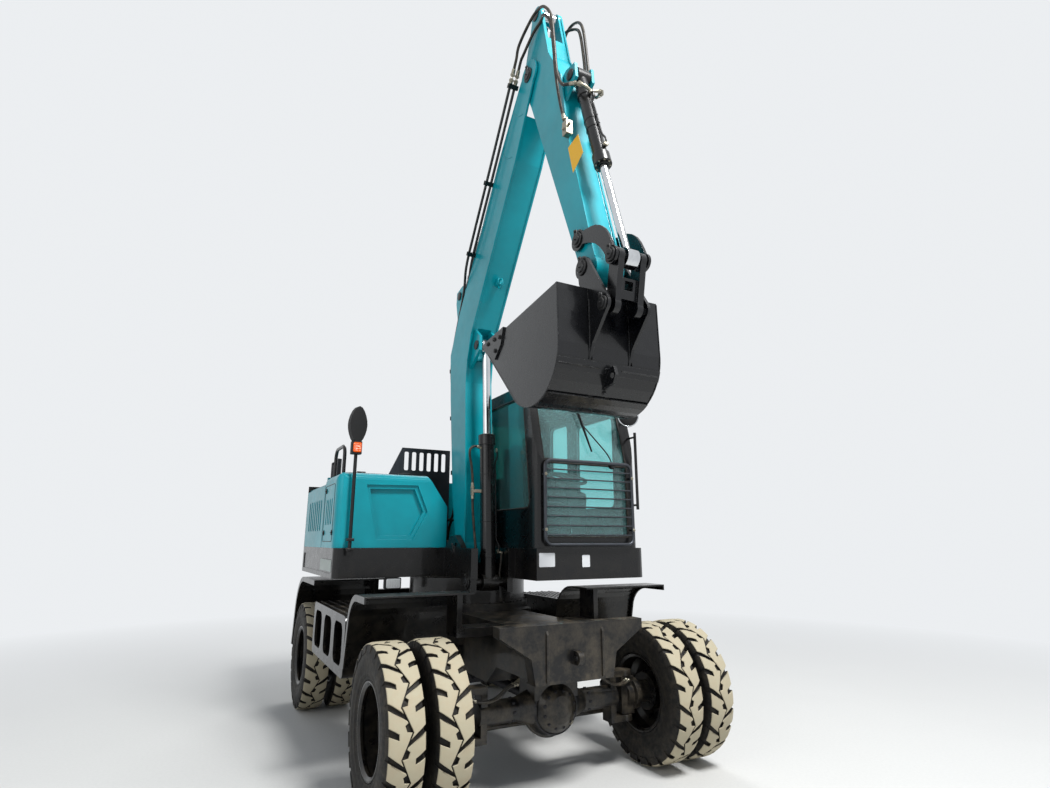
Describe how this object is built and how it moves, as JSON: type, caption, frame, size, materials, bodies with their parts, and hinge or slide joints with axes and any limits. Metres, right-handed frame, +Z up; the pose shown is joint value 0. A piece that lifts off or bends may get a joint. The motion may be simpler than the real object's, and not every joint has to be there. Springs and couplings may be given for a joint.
{
  "type": "wheeled excavator",
  "caption": "Excavator on four twin-tyred wheels, with a slewing cab and engine deck, a one-cylinder boom raised, and its arm and bucket folded in.",
  "frame": {"origin": "on the ground under the middle of the whole machine", "axes": "+Z up, +X towards the machine's left-hand side, -Y towards its front"},
  "size_m": [2.5405, 4.725, 6.1256],
  "materials": {
    "teal_paint": "gloss",
    "black_paint": "satin",
    "tyre_rubber": "matt",
    "glass": "clear",
    "cast_iron": "rough",
    "chrome": "polished",
    "plastic_black": "grained",
    "fabric_seat": "woven",
    "lamp_lens": "clear",
    "bucket_paint": "gloss"
  },
  "bodies": {
    "chassis": {"chassis_frame": "black_paint", "axle_front": "cast_iron", "axle_rear": "cast_iron", "driveline": "cast_iron", "fenders": "black_paint", "side_boxes": "black_paint"},
    "knuckle_left": {"knuckle_left": "cast_iron"},
    "knuckle_right": {"knuckle_right": "cast_iron"},
    "tie_rod": {"tie_rod": "cast_iron"},
    "wheel_front_left": {"tyres_front_left": "tyre_rubber", "rims_front_left": "black_paint"},
    "wheel_front_right": {"tyres_front_right": "tyre_rubber", "rims_front_right": "black_paint"},
    "wheel_rear_left": {"tyres_rear_left": "tyre_rubber", "rims_rear_left": "black_paint"},
    "wheel_rear_right": {"tyres_rear_right": "tyre_rubber", "rims_rear_right": "black_paint"},
    "upper": {"platform": "black_paint", "cab_shell": "black_paint", "cab_glass": "glass", "seat": "fabric_seat", "controls": "plastic_black", "engine": "cast_iron", "counterweight": "teal_paint", "engine_housing": "teal_paint", "right_box": "teal_paint", "guard": "black_paint", "handrails": "black_paint", "mirrors": "plastic_black", "exhaust": "black_paint", "lamps": "lamp_lens"},
    "cab_door": {"cab_door": "black_paint", "door_glass": "glass"},
    "hood": {"hood": "teal_paint"},
    "side_door": {"side_door": "teal_paint"},
    "boom": {"boom": "teal_paint"},
    "boom_barrel": {"boom_barrel": "black_paint"},
    "boom_rod": {"boom_rod": "chrome"},
    "arm": {"arm": "teal_paint"},
    "arm_barrel": {"arm_barrel": "black_paint"},
    "arm_rod": {"arm_rod": "chrome"},
    "bucket_barrel": {"bucket_barrel": "black_paint"},
    "bucket_rod": {"bucket_rod": "chrome"},
    "rocker": {"rocker": "cast_iron"},
    "link": {"link": "cast_iron"},
    "bucket": {"bucket": "bucket_paint"}
  },
  "joints": [
    {"name": "swing", "type": "hinge", "parent": "chassis", "child": "upper", "pos_m": [0, 0.362, 0], "axis": [0, 0, 1], "continuous": true},
    {"name": "steer_left", "type": "hinge", "parent": "chassis", "child": "knuckle_left", "pos_m": [0.64, -1.138, 0.49], "axis": [0, 0, 1], "range_deg": [-28, 28]},
    {"name": "steer_right", "type": "hinge", "parent": "chassis", "child": "knuckle_right", "pos_m": [-0.64, -1.138, 0.49], "axis": [0, 0, 1], "range_deg": [-29, 29]},
    {"name": "tie_rod_turn", "type": "hinge", "parent": "knuckle_left", "child": "tie_rod", "pos_m": [0.615, -0.948, 0.36], "axis": [0, 0, 1], "range_deg": [-29, 29]},
    {"name": "wheel_front_left_spin", "type": "hinge", "parent": "knuckle_left", "child": "wheel_front_left", "pos_m": [0.64, -1.138, 0.49], "axis": [1, 0, 0], "continuous": true},
    {"name": "wheel_front_right_spin", "type": "hinge", "parent": "knuckle_right", "child": "wheel_front_right", "pos_m": [-0.64, -1.138, 0.49], "axis": [1, 0, 0], "continuous": true},
    {"name": "wheel_rear_left_spin", "type": "hinge", "parent": "chassis", "child": "wheel_rear_left", "pos_m": [0.64, 1.632, 0.49], "axis": [1, 0, 0], "continuous": true},
    {"name": "wheel_rear_right_spin", "type": "hinge", "parent": "chassis", "child": "wheel_rear_right", "pos_m": [-0.64, 1.632, 0.49], "axis": [1, 0, 0], "continuous": true},
    {"name": "cab_door_hinge", "type": "hinge", "parent": "upper", "child": "cab_door", "pos_m": [1.192, 0.284, 2.23], "axis": [0, 0, 1], "range_deg": [0, 165]},
    {"name": "hood_hinge", "type": "hinge", "parent": "upper", "child": "hood", "pos_m": [0, 0.944, 2.194], "axis": [1, 0, 0], "range_deg": [0, 60]},
    {"name": "side_door_hinge", "type": "hinge", "parent": "upper", "child": "side_door", "pos_m": [1.262, 1.864, 1.83], "axis": [0, 0, 1], "range_deg": [0, 110]},
    {"name": "boom_lift", "type": "hinge", "parent": "upper", "child": "boom", "pos_m": [-0.06, 0.082, 1.5], "axis": [-1, 0, 0], "range_deg": [-98, 2]},
    {"name": "boom_barrel_tilt", "type": "hinge", "parent": "upper", "child": "boom_barrel", "pos_m": [-0.06, -0.238, 1.25], "axis": [-1, 0, 0], "range_deg": [-98.06, 2.49]},
    {"name": "boom_rod_slide", "type": "slide", "parent": "boom_barrel", "child": "boom_rod", "axis": [0, 0.0562, 0.9984], "range_m": [-0.6166, 0.0145]},
    {"name": "arm_swing", "type": "hinge", "parent": "boom", "child": "arm", "pos_m": [-0.06, -1.218, 5.5], "axis": [1, 0, 0], "range_deg": [-100, 10]},
    {"name": "arm_barrel_tilt", "type": "hinge", "parent": "boom", "child": "arm_barrel", "pos_m": [-0.06, 0.362, 4.05], "axis": [1, 0, 0], "range_deg": [-8.97, 1.35]},
    {"name": "arm_rod_slide", "type": "slide", "parent": "arm_barrel", "child": "arm_rod", "axis": [0, -0.6423, 0.7664], "range_m": [-0.812, 0.083]},
    {"name": "bucket_curl", "type": "hinge", "parent": "arm", "child": "bucket", "pos_m": [-0.06, -2.018, 3.35], "axis": [1, 0, 0], "range_deg": [-130, 10]},
    {"name": "rocker_turn", "type": "hinge", "parent": "arm", "child": "rocker", "pos_m": [-0.06, -1.928, 3.6], "axis": [1, 0, 0], "range_deg": [-109.61, 8.89]},
    {"name": "link_turn", "type": "hinge", "parent": "rocker", "child": "link", "pos_m": [-0.06, -2.298, 3.33], "axis": [1, 0, 0], "range_deg": [-6.76, 81.84]},
    {"name": "bucket_barrel_tilt", "type": "hinge", "parent": "arm", "child": "bucket_barrel", "pos_m": [-0.06, -1.809, 5.059], "axis": [1, 0, 0], "range_deg": [-3.17, 0.71]},
    {"name": "bucket_rod_slide", "type": "slide", "parent": "bucket_barrel", "child": "bucket_rod", "axis": [0, -0.2721, -0.9623], "range_m": [-0.7335, 0.0583]}
  ],
  "couplings": [
    {"joint": "steer_right", "follows": "steer_left", "ratio": 1},
    {"joint": "tie_rod_turn", "follows": "steer_left", "ratio": -1},
    {"joint": "boom_barrel_tilt", "follows": "boom_lift", "ratio": 0.9955},
    {"joint": "boom_rod_slide", "follows": "boom_lift", "m_per_rad": 0.3593},
    {"joint": "arm_barrel_tilt", "follows": "arm_swing", "ratio": 0.0847},
    {"joint": "arm_rod_slide", "follows": "arm_swing", "m_per_rad": 0.4641},
    {"joint": "rocker_turn", "follows": "bucket_curl", "ratio": 0.8393},
    {"joint": "link_turn", "follows": "bucket_curl", "ratio": -0.6257},
    {"joint": "bucket_barrel_tilt", "follows": "bucket_curl", "ratio": 0.0205},
    {"joint": "bucket_rod_slide", "follows": "bucket_curl", "m_per_rad": 0.3224}
  ]
}
